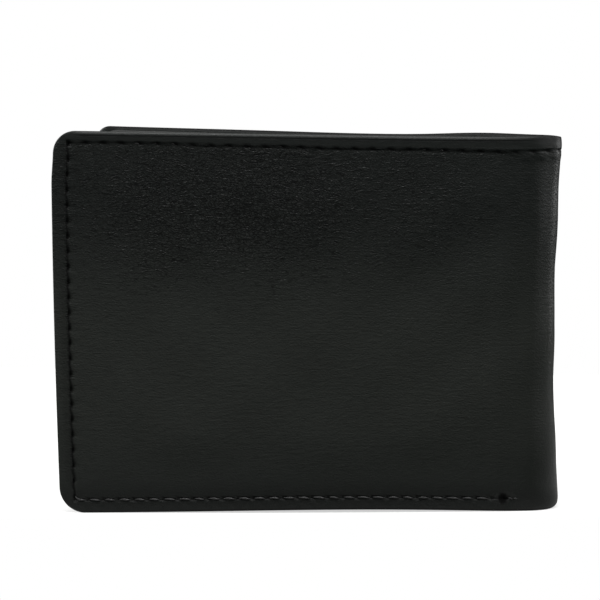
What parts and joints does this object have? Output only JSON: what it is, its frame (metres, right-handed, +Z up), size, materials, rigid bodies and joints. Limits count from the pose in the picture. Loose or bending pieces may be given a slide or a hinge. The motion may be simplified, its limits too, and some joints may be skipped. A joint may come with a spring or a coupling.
{
  "type": "leather wallet",
  "caption": "Folding leather wallet with a bill compartment and card pockets in each half, standing slightly open on its long edges.",
  "frame": {"origin": "middle of the footprint, on the surface that the wallet stands on", "axes": "+Z up along the wallet's height, +X towards the fold, -Y towards the outer face of the front half"},
  "size_m": [0.1126, 0.0358, 0.0849],
  "materials": {
    "leather": "semi-matt grained",
    "lining": "matt woven",
    "thread": "twisted thread"
  },
  "bodies": {
    "front_half": {"outer_leather_front": "leather", "bill_lining_front": "lining", "partition_front": "leather", "pocket_backing_front": "lining", "top_pocket_tee_front": "lining", "middle_pocket_tee_front": "lining", "top_pocket_front": "leather", "middle_pocket_front": "leather", "lowest_pocket_front": "leather", "top_seam_front": "thread", "edge_seam_front": "thread", "pocket_seam_front": "thread"},
    "fold": {"outer_leather_fold": "leather", "bill_lining_fold": "lining", "top_seam_fold": "thread"},
    "rear_half": {"outer_leather_rear": "leather", "bill_lining_rear": "lining", "partition_rear": "leather", "pocket_backing_rear": "lining", "top_pocket_tee_rear": "lining", "middle_pocket_tee_rear": "lining", "top_pocket_rear": "leather", "middle_pocket_rear": "leather", "lowest_pocket_rear": "leather", "top_seam_rear": "thread", "edge_seam_rear": "thread", "pocket_seam_rear": "thread"}
  },
  "joints": [
    {"name": "front_fold", "type": "hinge", "parent": "front_half", "child": "fold", "pos_m": [0.05505, -0.00492, 0.0425], "axis": [0, 0, -1], "range_deg": [-6, 84]},
    {"name": "rear_fold", "type": "hinge", "parent": "fold", "child": "rear_half", "pos_m": [0.05505, 0.00534, 0.0425], "axis": [0, 0, -1], "range_deg": [-6, 84]}
  ],
  "couplings": [
    {"joint": "rear_fold", "follows": "front_fold", "ratio": 1}
  ]
}
